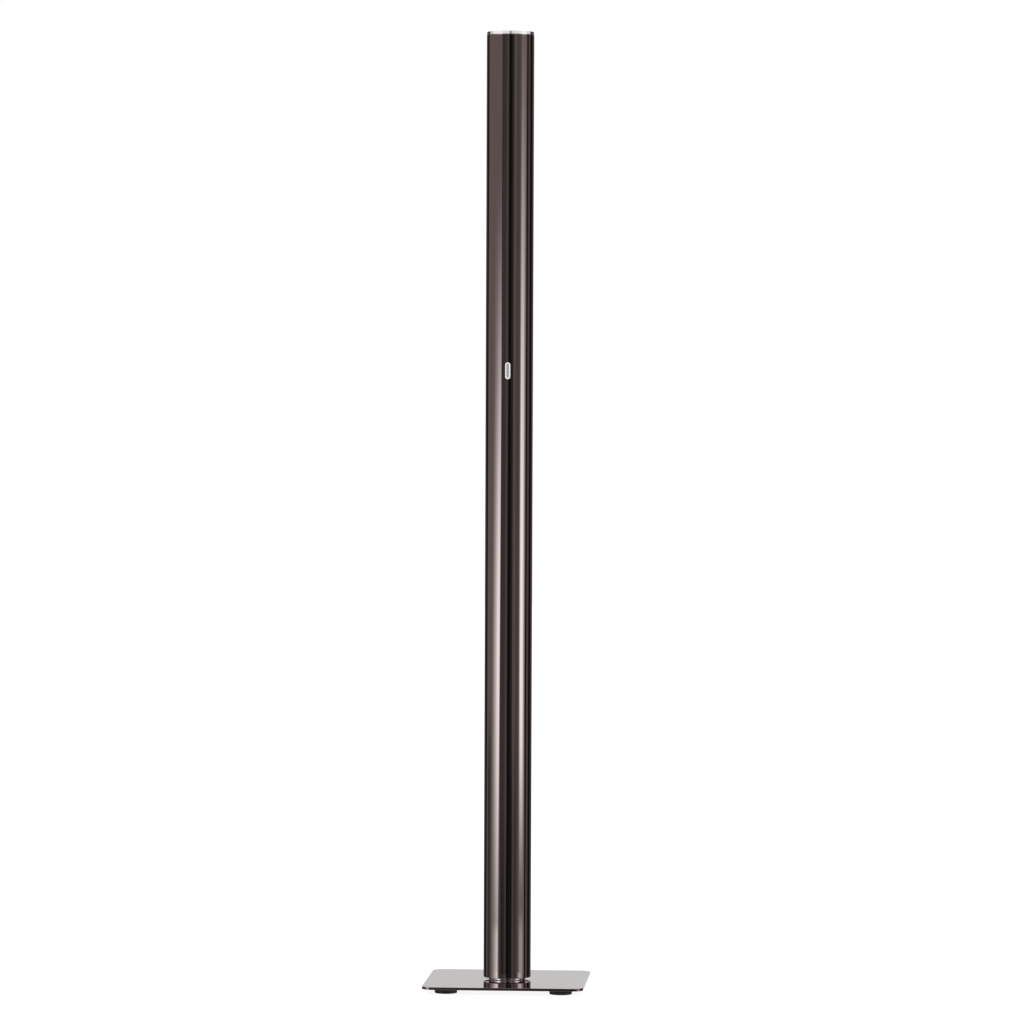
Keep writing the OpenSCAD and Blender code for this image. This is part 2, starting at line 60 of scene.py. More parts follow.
# %% Camera
CAMERA_DISTANCE = 9.795
CAMERA_HEIGHT = 1.155
CAMERA_AROUND = math.radians(3.763)
LOOK_AROUND = math.radians(3.729)
LOOK_DOWN = math.radians(1.653)
LOOK_LEAN = math.radians(0.220)
camera_data = bpy.data.cameras.new("camera")
camera_data.lens = 188.0
camera_data.sensor_width = 36.0
camera_data.clip_end = 100.0
camera = bpy.data.objects.new("camera", camera_data)
bpy.context.scene.collection.objects.link(camera)
camera.matrix_world = (
    Matrix.Translation((CAMERA_DISTANCE * math.sin(CAMERA_AROUND),
                        -CAMERA_DISTANCE * math.cos(CAMERA_AROUND), CAMERA_HEIGHT))
    @ Matrix.Rotation(LOOK_AROUND, 4, "Z")
    @ Matrix.Rotation(math.radians(90) - LOOK_DOWN, 4, "X")
    @ Matrix.Rotation(LOOK_LEAN, 4, "Z"))
bpy.context.scene.camera = camera
print("camera stands", CAMERA_DISTANCE, "m away with a", camera_data.lens, "mm lens")

# %% [markdown]
# ## Writing node trees
# A node tree is easier to read when each line says one sum. `wire` puts a number or another node's
# output on a socket, `calc` is one Math node, and `ease` is a Map Range node that rises smoothly from
# 0 to 1. A band that rises and falls again is two of those multiplied.

# %% Node helpers
def wire(tree, value, socket):
    if isinstance(value, bpy.types.NodeSocket):
        tree.links.new(value, socket)
    else:
        socket.default_value = value


def calc(tree, operation, *values):
    node = tree.nodes.new("ShaderNodeMath")
    node.operation = operation
    for value, socket in zip(values, node.inputs):
        wire(tree, value, socket)
    return node.outputs[0]


def ease(tree, value, start, end, kind="SMOOTHSTEP"):
    node = tree.nodes.new("ShaderNodeMapRange")
    node.interpolation_type = kind
    wire(tree, value, node.inputs["Value"])
    wire(tree, start, node.inputs["From Min"])
    wire(tree, end, node.inputs["From Max"])
    return node.outputs["Result"]


def band(tree, value, rise, full, fade, gone):
    up = ease(tree, value, rise, full)
    down = calc(tree, "SUBTRACT", 1.0, ease(tree, value, fade, gone))
    return calc(tree, "MULTIPLY", up, down)


def mix_colour(tree, share, first, second, blend="MIX"):
    node = tree.nodes.new("ShaderNodeMix")
    node.data_type = "RGBA"
    node.blend_type = blend
    for value, socket in zip((share, first, second), (node.inputs[0], node.inputs[6], node.inputs[7])):
        wire(tree, value, socket)
    return node.outputs[2]


# %% [markdown]
# ## The studio
# A mirror shows only what stands round it, so the room is the lamp's real colour. The world holds a
# dark studio: two tall soft boxes at the sides of the front, narrow black flags towards the back, a
# ring of ceiling panels and a white backdrop behind. Angles are in degrees round the lamp from the
# camera, positive to the right, and heights are in degrees above the horizon. Only reflections see
# that room. The camera itself sees plain white, and matt surfaces get an even soft light, so the
# picture stays clean at few samples.
#
# The column's foot also sees the room by way of the plate, which gives back only part of the light, so
# the room is a little brighter at those heights: `by_plate_view`.

# %% Studio directions
world = bpy.data.worlds.new("studio")
bpy.context.scene.world = world
world.use_nodes = True
world.cycles.sampling_method = "NONE"
room = world.node_tree
room.nodes.clear()
coordinates = room.nodes.new("ShaderNodeTexCoord")
turn = room.nodes.new("ShaderNodeMapping")
turn.inputs["Rotation"].default_value = (0, 0, -CAMERA_AROUND)
room.links.new(coordinates.outputs["Generated"], turn.inputs["Vector"])
axes = room.nodes.new("ShaderNodeSeparateXYZ")
room.links.new(turn.outputs["Vector"], axes.inputs["Vector"])
towards_camera = calc(room, "MULTIPLY", axes.outputs["Y"], -1.0)
around = calc(room, "DEGREES", calc(room, "ARCTAN2", axes.outputs["X"], towards_camera))
height = calc(room, "DEGREES", calc(room, "ARCSINE", axes.outputs["Z"]))

# %% Walls, flags and backdrop
# For each stretch of wall: the angles where it starts, is full, starts to fade and is gone, and its
# brightness.
DARK = 0.012
WALLS = {
    "left wall": (-128, -118, -41, -36, 0.23),
    "left of the camera": (-38, -34, -8, -3, 0.075),
    "left doorway": (-20, -14, -10, -6, 0.06),
    "beside the camera": (5, 12, 18, 22, 0.035),
    "right of the camera": (16, 21, 86, 92, 0.13),
    "right doorway": (19, 24, 28, 34, 0.06),
    "right wall": (46, 62, 84, 90, 0.15),
    "gap between right flags": (95, 102, 110, 116, 0.14),
    "right flag's edge": (130, 140, 152, 158, 0.10),
    "left flag's edge": (-156, -150, -142, -136, 0.10),
}
level = DARK
for rise, full, fade, gone, brightness in WALLS.values():
    lit = band(room, around, rise, full, fade, gone)
    level = calc(room, "MULTIPLY_ADD", lit, brightness, level)
BACKDROP = 0.75
behind = ease(room, calc(room, "ABSOLUTE", around), 160, 168)
print("the room has", len(WALLS), "stretches of wall")

# %% Cards near the floor
# For each card: the angles where it starts, is full, starts to fade and is gone, the heights where it
# starts and is full, whether the plate's view has it too, and the light that it takes away.
PLATE_GAIN = 0.4
CARDS = {
    "left card": (-118, -110, -97, -88, -3.4, -4.6, True, 0.16),
    "middle card": (-36, -28, -5, 0, -4.4, -6.2, False, 0.045),
    "right card": (8, 18, 34, 46, -3.6, -5.4, True, 0.07),
}
by_plate_view = ease(room, height, 4.2, 5.8)
for rise, full, fade, gone, top, bottom, seen_by_plate, darker in CARDS.values():
    low = ease(room, height, top, bottom)
    if seen_by_plate:
        low = calc(room, "MAXIMUM", low, by_plate_view)
    card = calc(room, "MULTIPLY", band(room, around, rise, full, fade, gone), low)
    level = calc(room, "MULTIPLY_ADD", card, -darker, level)
level = calc(room, "MAXIMUM", level, DARK)
level = calc(room, "MULTIPLY", level, calc(room, "MULTIPLY_ADD", by_plate_view, PLATE_GAIN, 1.0))
FLOOR_GLOW = 0.30
OVERHEAD_GLOW = 0.30
floor_glow = calc(room, "MULTIPLY", ease(room, height, -8, -24), FLOOR_GLOW)
over_head = calc(room, "MULTIPLY", ease(room, height, 30, 60), OVERHEAD_GLOW)
dark_room = calc(room, "ADD", level, calc(room, "ADD", floor_glow, over_head))
print("cards that darken the room near the floor:", list(CARDS))

# %% Soft boxes
SOFT_BOX = 1.8
BOX_MIDDLE = -3.2
SLANT_TOP = 3.0
LEFT_SLANT = 1.3
RIGHT_SLANT = 0.8
RIGHT_SHIFT = 2.0
above_middle = calc(room, "SUBTRACT", height, BOX_MIDDLE)
slant = calc(room, "MINIMUM", above_middle, SLANT_TOP)
slant = calc(room, "MULTIPLY_ADD", by_plate_view, -2 * SLANT_TOP, slant)
rise_angle = calc(room, "MULTIPLY_ADD", calc(room, "MAXIMUM", slant, 0.0), -LEFT_SLANT, around)
fall_angle = calc(room, "MULTIPLY_ADD", slant, -LEFT_SLANT, around)
left_width = calc(room, "MULTIPLY",
                  calc(room, "POWER", ease(room, rise_angle, -89, -52, "LINEAR"), 1.6),
                  calc(room, "SUBTRACT", 1.0, ease(room, fall_angle, -46, -40)))
left_tall = band(room, height, -8.0, -3.3, -3.2, 2.2)
right_angle = calc(room, "MULTIPLY_ADD", calc(room, "MINIMUM", above_middle, 0.0), RIGHT_SLANT, around)
right_angle = calc(room, "MULTIPLY_ADD", by_plate_view, RIGHT_SHIFT, right_angle)
right_width = band(room, right_angle, 51.5, 62.5, 68, 87)
right_tall = band(room, height, -6.0, -3.6, -2.4, 4.0)
near_floor = ease(room, height, -5.85, -6.2)
by_plate = band(room, height, 4.4, 6.0, 7.6, 9.5)
far_view = ease(room, height, -9, -16)


def soft_box(width, tall, floor_share, plate_share):
    """One box's light: full on its own height, a share near the floor and a share by way of the plate."""
    low = calc(room, "MULTIPLY", near_floor, floor_share)
    high = calc(room, "MULTIPLY", by_plate, plate_share)
    rest = calc(room, "MAXIMUM", far_view, calc(room, "ADD", low, high))
    return calc(room, "MULTIPLY", width, calc(room, "MAXIMUM", tall, rest))


boxes = calc(room, "ADD",
             soft_box(left_width, left_tall, floor_share=0.64, plate_share=1.0),
             soft_box(right_width, right_tall, floor_share=0.22, plate_share=0.5))
print("soft boxes are", SOFT_BOX, "times as bright as the plain white")

# %% Ceiling panels
CEILING = 0.8
to_camera = calc(room, "ABSOLUTE", around)
panel_width = band(room, to_camera, -3, 9, 112, 130)
panel_tall = band(room, height, 10, 15, 50, 72)
panels = calc(room, "MULTIPLY", calc(room, "MULTIPLY", panel_width, panel_tall), CEILING)
print("ceiling panels are", CEILING, "times as bright as the plain white")

# %% Put the room together
WARM = (1.0, 0.86, 0.83, 1.0)
SOFT_GREY = (0.8, 0.8, 0.8, 1.0)
WHITE = (1.0, 1.0, 1.0, 1.0)
warm_dark = mix_colour(room, 1.0, dark_room, WARM, "MULTIPLY")
lights = calc(room, "MULTIPLY_ADD", boxes, SOFT_BOX, panels)
with_boxes = mix_colour(room, 1.0, warm_dark, lights, "ADD")
reflected = mix_colour(room, behind, with_boxes, (BACKDROP, BACKDROP, BACKDROP, 1.0))
ray = room.nodes.new("ShaderNodeLightPath")
not_camera = mix_colour(room, ray.outputs["Is Glossy Ray"], SOFT_GREY, reflected)
seen = mix_colour(room, ray.outputs["Is Camera Ray"], not_camera, WHITE)
background = room.nodes.new("ShaderNodeBackground")
room.links.new(seen, background.inputs["Color"])
world_output = room.nodes.new("ShaderNodeOutputWorld")
room.links.new(background.outputs["Background"], world_output.inputs["Surface"])
bpy.context.scene.view_settings.view_transform = "Standard"
print("the room is made of", len(room.nodes), "nodes")

# %% [markdown]
# ## Floor and key light
# The floor is a large pale sheet that glows a little, as a light table does, so that the pads leave
# only a soft shadow. Reflections don't see it: in a real studio the same is done with a black card
# that the camera can't see. One large soft lamp from above gives the matt pieces their shape.

# %% Floor
FLOOR_REACH = 15.0
floor_mesh = bpy.data.meshes.new("floor")
bm = bmesh.new()
bmesh.ops.create_grid(bm, x_segments=8, y_segments=8, size=FLOOR_REACH)
bm.to_mesh(floor_mesh)
bm.free()
floor = bpy.data.objects.new("floor", floor_mesh)
bpy.context.scene.collection.objects.link(floor)
floor.visible_glossy = False
floor_finish = bpy.data.materials.new("pale_floor")
floor_finish.use_nodes = True
floor_surface = floor_finish.node_tree.nodes["Principled BSDF"]
floor_surface.inputs["Base Color"].default_value = (0.3, 0.3, 0.3, 1.0)
floor_surface.inputs["Roughness"].default_value = 0.9
floor_surface.inputs["Specular IOR Level"].default_value = 0.0
floor_surface.inputs["Emission Color"].default_value = WHITE
floor_surface.inputs["Emission Strength"].default_value = 0.88
floor_mesh.materials.append(floor_finish)
print("floor reaches", FLOOR_REACH, "m each way")

# %% Key light
key_data = bpy.data.lights.new("soft_lamp", "AREA")
key_data.shape = "DISK"
key_data.size = 2.5
key_data.energy = 90.0
key_light = bpy.data.objects.new("soft_lamp", key_data)
bpy.context.scene.collection.objects.link(key_light)
LAMP_PLACE = Vector((-2.2, -3.0, 3.6))
LAMP_AIM = Vector((0, 0, 0.8))
key_light.matrix_world = (Matrix.Translation(LAMP_PLACE)
                          @ (LAMP_PLACE - LAMP_AIM).to_track_quat("Z", "Y").to_matrix().to_4x4())
key_light.visible_glossy = False
key_light.visible_camera = False
print("one soft lamp,", key_data.size, "m wide")

# %% [markdown]
# ## Shared surface effects
# Real finishes differ in the same few ways: the colour drifts a little, dull patches come from
# handling, and the surface is never quite flat. Each of these is a node group with named sockets.
# `mottle` drifts a colour, `smears` changes a roughness, and `ripple` gives a height in metres for a
# Bump node. A Mapping node in front stretches them along the piece where the maker's tool ran that
# way.

# %% Start a node group
def new_group(name, inputs, outputs):
    group = bpy.data.node_groups.new(name, "ShaderNodeTree")
    for label, kind, value in inputs:
        socket = group.interface.new_socket(label, in_out="INPUT", socket_type=kind)
        if value is not None:
            socket.default_value = value
    for label, kind in outputs:
        group.interface.new_socket(label, in_out="OUTPUT", socket_type=kind)
    return group, group.nodes.new("NodeGroupInput"), group.nodes.new("NodeGroupOutput")


def noise(tree, vector, scale, detail=2.0, roughness=0.5):
    node = tree.nodes.new("ShaderNodeTexNoise")
    wire(tree, vector, node.inputs["Vector"])
    wire(tree, scale, node.inputs["Scale"])
    node.inputs["Detail"].default_value = detail
    node.inputs["Roughness"].default_value = roughness
    return node.outputs["Fac"]


# %% Mottle, smears and ripple
mottle, given, made = new_group(
    "mottle",
    [("Vector", "NodeSocketVector", None), ("Colour", "NodeSocketColor", (0.5, 0.5, 0.5, 1.0)),
     ("Scale", "NodeSocketFloat", 30.0), ("Amount", "NodeSocketFloat", 0.1)],
    [("Colour", "NodeSocketColor")])
cloud = noise(mottle, given.outputs["Vector"], given.outputs["Scale"], detail=4.0)
drift = calc(mottle, "MULTIPLY", calc(mottle, "SUBTRACT", cloud, 0.5), given.outputs["Amount"])
value_node = mottle.nodes.new("ShaderNodeHueSaturation")
mottle.links.new(given.outputs["Colour"], value_node.inputs["Color"])
mottle.links.new(calc(mottle, "ADD", 1.0, calc(mottle, "MULTIPLY", drift, 2.0)), value_node.inputs["Value"])
mottle.links.new(value_node.outputs["Color"], made.inputs["Colour"])

smears, given, made = new_group(
    "smears",
    [("Vector", "NodeSocketVector", None), ("Roughness", "NodeSocketFloat", 0.1),
     ("Scale", "NodeSocketFloat", 20.0), ("Amount", "NodeSocketFloat", 0.05)],
    [("Roughness", "NodeSocketFloat")])
wide = noise(smears, given.outputs["Vector"], given.outputs["Scale"], detail=3.0)
fine = noise(smears, given.outputs["Vector"], calc(smears, "MULTIPLY", given.outputs["Scale"], 14.0))
patchy = calc(smears, "MULTIPLY", ease(smears, wide, 0.45, 0.75), calc(smears, "ADD", 0.5, fine))
smears.links.new(calc(smears, "MULTIPLY_ADD", patchy, given.outputs["Amount"], given.outputs["Roughness"]),
                 made.inputs["Roughness"])

ripple, given, made = new_group(
    "ripple",
    [("Vector", "NodeSocketVector", None), ("Scale", "NodeSocketFloat", 100.0),
     ("Depth", "NodeSocketFloat", 1.0)],
    [("Height", "NodeSocketFloat")])
slow = noise(ripple, given.outputs["Vector"], given.outputs["Scale"], detail=1.0)
quick_part = noise(ripple, given.outputs["Vector"], calc(ripple, "MULTIPLY", given.outputs["Scale"], 6.0))
waves = calc(ripple, "MULTIPLY_ADD", quick_part, 0.12, slow)
ripple.links.new(calc(ripple, "MULTIPLY", waves, given.outputs["Depth"]), made.inputs["Height"])
print("groups:", [group.name for group in (mottle, smears, ripple)])

# %% [markdown]
# ## One recipe for a finish
# Every finish here is the Principled BSDF with the three groups in front of it, so one function lays
# them out and each finish below only says its own values. Numbers that are the same all over, such
# as the index of refraction, go straight on the shader's sockets.

# %% Lay out a finish
def place_group(tree, group, vector, **values):
    node = tree.nodes.new("ShaderNodeGroup")
    node.node_tree = group
    tree.links.new(vector, node.inputs["Vector"])
    for label, value in values.items():
        wire(tree, value, node.inputs[label])
    return node.outputs[0]


def finish_of(name, colour, metallic=0.0, roughness=0.4, stretch=(1, 1, 1), drift=(30, 0.05),
              dull=(20, 0.05), bump=(400, 5e-6), plain=None):
    """Drift, dull and bump are each a scale and an amount. Plain holds values for the shader itself."""
    material = bpy.data.materials.new(name)
    material.use_nodes = True
    tree = material.node_tree
    shader = tree.nodes["Principled BSDF"]
    where = tree.nodes.new("ShaderNodeTexCoord")
    stretched = tree.nodes.new("ShaderNodeMapping")
    stretched.inputs["Scale"].default_value = stretch
    tree.links.new(where.outputs["Object"], stretched.inputs["Vector"])
    vector = stretched.outputs["Vector"]
    tinted = place_group(tree, mottle, vector, Colour=(*colour, 1.0), Scale=drift[0], Amount=drift[1])
    tree.links.new(tinted, shader.inputs["Base Color"])
    dulled = place_group(tree, smears, vector, Roughness=roughness, Scale=dull[0], Amount=dull[1])
    tree.links.new(dulled, shader.inputs["Roughness"])
    height_out = place_group(tree, ripple, vector, Scale=bump[0], Depth=1.0)
    bump_node = tree.nodes.new("ShaderNodeBump")
    bump_node.inputs["Distance"].default_value = bump[1]
    tree.links.new(height_out, bump_node.inputs["Height"])
    tree.links.new(bump_node.outputs["Normal"], shader.inputs["Normal"])
    shader.inputs["Metallic"].default_value = metallic
    for label, value in (plain or {}).items():
        shader.inputs[label].default_value = value
    return material


# %% [markdown]
# ## Metal finishes
# Black chrome is a thin dark metal layer over a polished one: a mirror that gives back well under
# half of the light, slightly warm. The column was drawn through a die, so its faint waves run along
# its length. The plate was ground flat and polished, so its waves are broad and even. Bright chrome
# is lighter and cooler. The neck's chrome is turned and only lightly polished, which spreads its
# reflections a little. The bezel is chrome, but it is given a pale, half-matt satin colour as a
# painted reflection of bright surroundings, so it looks white under any light. Screws and sheet steel
# are zinc plated and duller, and the heat sink is bare machined aluminium.

# %% Metals
black_chrome_tube = finish_of(
    "black_chrome_tube", (0.41, 0.362, 0.355), metallic=1.0, roughness=0.012, stretch=(1, 1, 0.08),
    drift=(18, 0.03), dull=(14, 0.018), bump=(55, 1.2e-5))
black_chrome_plate = finish_of(
    "black_chrome_plate", (0.40, 0.365, 0.358), metallic=1.0, roughness=0.02,
    drift=(12, 0.03), dull=(16, 0.03), bump=(22, 1.0e-5))
bright_chrome = finish_of(
    "bright_chrome", (0.78, 0.775, 0.77), metallic=1.0, roughness=0.02,
    drift=(60, 0.02), dull=(60, 0.03), bump=(90, 2e-6))
neck_chrome = finish_of(
    "neck_chrome", (0.80, 0.795, 0.79), metallic=1.0, roughness=0.12, stretch=(1, 1, 30),
    drift=(60, 0.03), dull=(60, 0.03), bump=(60, 2e-6))
# Painted reflection: the bezel's chrome is given a pale, half-matt colour that stands in for the white it
# reflects.
satin_chrome = finish_of(
    "satin_chrome", (0.94, 0.92, 0.92), metallic=0.35, roughness=0.28,
    drift=(300, 0.03), dull=(350, 0.08), bump=(3000, 2e-6))
mirror_reflector = finish_of(
    "mirror_reflector", (0.88, 0.88, 0.89), metallic=1.0, roughness=0.05,
    drift=(50, 0.02), dull=(70, 0.04), bump=(420, 9e-5))
zinc_screw = finish_of(
    "zinc_screw", (0.56, 0.565, 0.58), metallic=1.0, roughness=0.26,
    drift=(300, 0.12), dull=(350, 0.16), bump=(2600, 4e-6))
zinc_sheet = finish_of(
    "zinc_sheet", (0.60, 0.61, 0.63), metallic=1.0, roughness=0.34, stretch=(1, 1, 0.3),
    drift=(160, 0.16), dull=(120, 0.14), bump=(900, 5e-6))
machined_aluminium = finish_of(
    "machined_aluminium", (0.74, 0.75, 0.76), metallic=1.0, roughness=0.30, stretch=(1, 1, 6),
    drift=(90, 0.06), dull=(200, 0.10), bump=(700, 8e-6))

# %% [markdown]
# ## Rubber, plastics and glass
# The pads are moulded rubber: nearly black, matt, with a fine grain and a pale bloom in places.
# Plastics have a moulded grain and a soft gloss. The glass is clear with the faint green of iron,
# polished, with a few smears. The emitter is a yellow silicone gel over the LED chips.

# %% Rubber and plastics
rubber = finish_of("moulded_rubber", (0.011, 0.010, 0.010), roughness=0.62,
                   drift=(120, 0.5), dull=(90, 0.2), bump=(1800, 3e-5))
black_nylon = finish_of("black_nylon", (0.022, 0.022, 0.023), roughness=0.45,
                        drift=(200, 0.3), dull=(150, 0.2), bump=(1400, 2.5e-5))
key_grey = finish_of("key_grey", (0.30, 0.295, 0.29), roughness=0.24,
                     drift=(300, 0.05), dull=(260, 0.12), bump=(2200, 3e-6),
                     plain={"Coat Weight": 0.35, "Coat Roughness": 0.08})
white_plastic = finish_of("white_plastic", (0.78, 0.78, 0.75), roughness=0.38,
                          drift=(60, 0.06), dull=(80, 0.16), bump=(1500, 1.2e-5),
                          plain={"Subsurface Weight": 0.05, "Subsurface Scale": 0.002})
grey_plastic = finish_of("grey_plastic", (0.33, 0.33, 0.34), roughness=0.42,
                         drift=(60, 0.08), dull=(80, 0.16), bump=(1500, 1.2e-5))
board_green = finish_of("board_green", (0.018, 0.115, 0.055), roughness=0.28,
                        drift=(500, 0.35), dull=(200, 0.1), bump=(1200, 1.5e-5),
                        plain={"Coat Weight": 0.5, "Coat Roughness": 0.1})
clear_lens = finish_of("clear_lens", (0.80, 0.82, 0.78), roughness=0.12,
                       drift=(600, 0.05), dull=(500, 0.1), bump=(2000, 2e-6),
                       plain={"Transmission Weight": 0.6, "IOR": 1.45})
phosphor_gel = finish_of("phosphor_gel", (0.88, 0.62, 0.10), roughness=0.30,
                         drift=(700, 0.18), dull=(400, 0.12), bump=(2500, 1e-5),
                         plain={"Subsurface Weight": 0.2, "Subsurface Scale": 0.001})
clear_glass = finish_of("clear_glass", (0.93, 0.965, 0.955), roughness=0.006,
                        drift=(20, 0.02), dull=(45, 0.03), bump=(30, 2e-6),
                        plain={"Transmission Weight": 1.0, "IOR": 1.52})
print("finishes:", len([m for m in bpy.data.materials if m is not floor_finish]))

# %% [markdown]
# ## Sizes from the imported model
# A node's box gives its lowest and highest corners, so each size that the pieces below share is
# read off a box once, under a name. Nothing here is measured twice.

# %% Read the sizes
plate_low, plate_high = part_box("base_plate")
column_low, column_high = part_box("column_tube")
hub_low, hub_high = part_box("neck_hub")
ring_low, ring_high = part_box("top_ring")
bezel_low, bezel_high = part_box("control_bezel")
key_low, key_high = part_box("control_key")
gland_low, gland_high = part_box("cord_gland")
glass_low, glass_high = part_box("glass_disc")
gasket_low, gasket_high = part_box("glass_gasket")
bowl_low, bowl_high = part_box("reflector")
emitter_low, emitter_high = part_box("led_emitter")
sink_low, sink_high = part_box("heat_sink")

plate_side = plate_high.x - plate_low.x
plate_top = plate_high.z
column_radius = (column_high.y - column_low.y) / 2
hub_radius = (hub_high.y - hub_low.y) / 2
HUB_PLAY = 0.2 * MM
column_wall = column_radius - hub_radius - HUB_PLAY
bore_radius = column_radius - column_wall
control_height = (bezel_low.z + bezel_high.z) / 2
gland_height = (gland_low.z + gland_high.z) / 2
print("column radius", round(column_radius / MM, 2), "wall", round(column_wall / MM, 2))
print("key middle", round(control_height / MM, 1), "gland middle", round(gland_height / MM, 1))

# %% [markdown]
# ## Turning, lofting and cutting
# Most pieces are turned: an outline is drawn in a plane that holds the axis, and `bmesh.ops.spin`
# carries it round. An arc rounds each edge of the outline, because a real edge always has a small
# radius and a mirror finish shows it as a bright line. `loft` bridges one closed loop to the next,
# for shapes whose section is a slot. `combine` applies a Boolean modifier, for a drilled hole or for
# a joined rib.

# %% Make an object of a bmesh
def shade(mesh, sharp_over=32):
    mesh.polygons.foreach_set("use_smooth", [True] * len(mesh.polygons))
    mesh.set_sharp_from_angle(angle=math.radians(sharp_over))


def piece_from(bm, name, material, body="lamp", nodes=(), weighted=True):
    mesh = bpy.data.meshes.new(name)
    bm.to_mesh(mesh)
    bm.free()
    shade(mesh)
    mesh.materials.append(material)
    piece = bpy.data.objects.new(name, mesh)
    bpy.context.scene.collection.objects.link(piece)
    if weighted:
        even = piece.modifiers.new("even_shading", "WEIGHTED_NORMAL")
        even.keep_sharp = True
    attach(piece, body)
    if nodes:
        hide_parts(*nodes)
    print(f"{name}: {len(mesh.polygons)} faces")
    return piece


# %% Turn an outline
def arc(centre_r, centre_z, radius, start, end, steps=4):
    turns = [math.radians(start + (end - start) * step / steps) for step in range(steps + 1)]
    return [(centre_r + radius * math.cos(t), centre_z + radius * math.sin(t)) for t in turns]


def around_axis(radius, angles):
    turns = [math.radians(angle) for angle in angles]
    return [Vector((radius * math.cos(t), radius * math.sin(t), 0)) for t in turns]


def turned(outline, steps=192, closed=True):
    bm = bmesh.new()
    corners = [bm.verts.new((r, 0, z)) for r, z in outline]
    sides = [bm.edges.new(pair) for pair in zip(corners, corners[1:])]
    if closed:
        sides.append(bm.edges.new((corners[-1], corners[0])))
    bmesh.ops.spin(bm, geom=corners + sides, cent=(0, 0, 0), axis=(0, 0, 1), dvec=(0, 0, 0),
                   angle=math.tau, steps=steps, use_merge=True, use_duplicate=False)
    bmesh.ops.remove_doubles(bm, verts=bm.verts, dist=1e-7)
    bmesh.ops.recalc_face_normals(bm, faces=bm.faces)
    return bm


# %% Loft between slot-shaped loops
def slot_loop(bm, length, width, depth, steps=48):
    """A closed loop in a plane of constant Y: a circle whose upper half is lifted and lower half
    dropped. The half step of turn leaves no vertex on the line between the halves."""
    radius = width / 2
    half_step = math.pi / steps
    place = (Matrix.Translation((0, depth, 0)) @ Matrix.Rotation(math.radians(90), 4, "X")
             @ Matrix.Rotation(half_step, 4, "Z"))
    loop = bmesh.ops.create_circle(bm, segments=steps, radius=radius, matrix=place)["verts"]
    stretch = (length - width) / 2
    for vert in loop:
        vert.co.z += math.copysign(stretch, vert.co.z)
    return loop


def edges_round(loop):
    members = set(loop)
    return list({edge for vert in loop for edge in vert.link_edges if set(edge.verts) <= members})


def loft(bm, loops, closed=False):
    rings = [edges_round(loop) for loop in loops]
    pairs = list(zip(rings, rings[1:])) + ([(rings[-1], rings[0])] if closed else [])
    for first, second in pairs:
        bmesh.ops.bridge_loops(bm, edges=first + second)
    if not closed:
        for ring in (rings[0], rings[-1]):
            bmesh.ops.contextual_create(bm, geom=ring)
    bmesh.ops.recalc_face_normals(bm, faces=bm.faces)


# %% Combine with a Boolean modifier
def rod(bm, radius, start, end, steps=64):
    """A plain cutting cylinder from one point to another."""
    start, end = Vector(start), Vector(end)
    along = end - start
    place = Matrix.Translation((start + end) / 2) @ along.to_track_quat("Z", "Y").to_matrix().to_4x4()
    bmesh.ops.create_cone(bm, cap_ends=True, segments=steps, radius1=radius, radius2=radius,
                          depth=along.length, matrix=place)


def combine(piece, tool_bm, operation="DIFFERENCE"):
    tool_mesh = bpy.data.meshes.new("tool")
    tool_bm.to_mesh(tool_mesh)
    tool_bm.free()
    tool = bpy.data.objects.new("tool", tool_mesh)
    bpy.context.scene.collection.objects.link(tool)
    boolean = piece.modifiers.new("cut", "BOOLEAN")
    boolean.operation = operation
    boolean.solver = "EXACT"
    boolean.object = tool
    kept = [m for m in piece.modifiers if m.type == "WEIGHTED_NORMAL"]
    for modifier in kept:
        modifier.show_viewport = False
    bpy.context.view_layer.update()
    result = bpy.data.meshes.new_from_object(
        piece.evaluated_get(bpy.context.evaluated_depsgraph_get()))
    piece.modifiers.remove(boolean)
    for modifier in kept:
        modifier.show_viewport = True
    old_mesh, old_name = piece.data, piece.data.name
    piece.data = result
    bpy.data.meshes.remove(old_mesh)
    result.name = old_name
    shade(result)
    bpy.data.objects.remove(tool)
    bpy.data.meshes.remove(tool_mesh)


# %% [markdown]
# ## Base plate
# The plate is 5 mm steel with rounded corners and softly broken edges. It starts as a flat slab: the
# four upright edges are bevelled for the corners, then the edges round the top and the bottom get a
# much smaller bevel, so that no edge is razor sharp. The plate is then drilled and countersunk from
# below for the screws that hold the hub, and drilled for the pads.

# %% Model the base plate
PAD_NODES = [f"foot_pad_{end}_{side}" for end in ("front", "rear") for side in ("left", "right")]
PAD_HOLE = 2.1 * MM
CORNER_RADIUS = 20 * MM
EDGE_BREAK = 0.35 * MM
bm = bmesh.new()
middle = Matrix.Translation((0, 0, (plate_low.z + plate_high.z) / 2))
bmesh.ops.create_cube(bm, size=1.0, matrix=middle @ Matrix.Diagonal(
    (plate_side, plate_side, plate_high.z - plate_low.z, 1.0)))
upright = [edge for edge in bm.edges if abs(edge.verts[0].co.z - edge.verts[1].co.z) > MM]
bmesh.ops.bevel(bm, geom=upright, offset=CORNER_RADIUS, offset_type="OFFSET", affect="EDGES",
                segments=14, profile=0.5, material=-1)
rim = [edge for edge in bm.edges if abs(edge.verts[0].co.z - edge.verts[1].co.z) < 1e-6]
bmesh.ops.bevel(bm, geom=rim, offset=EDGE_BREAK, offset_type="OFFSET", affect="EDGES",
                segments=3, profile=0.5, material=-1)
plate = piece_from(bm, "base_plate_polished", black_chrome_plate,
                   nodes=["base_plate"])

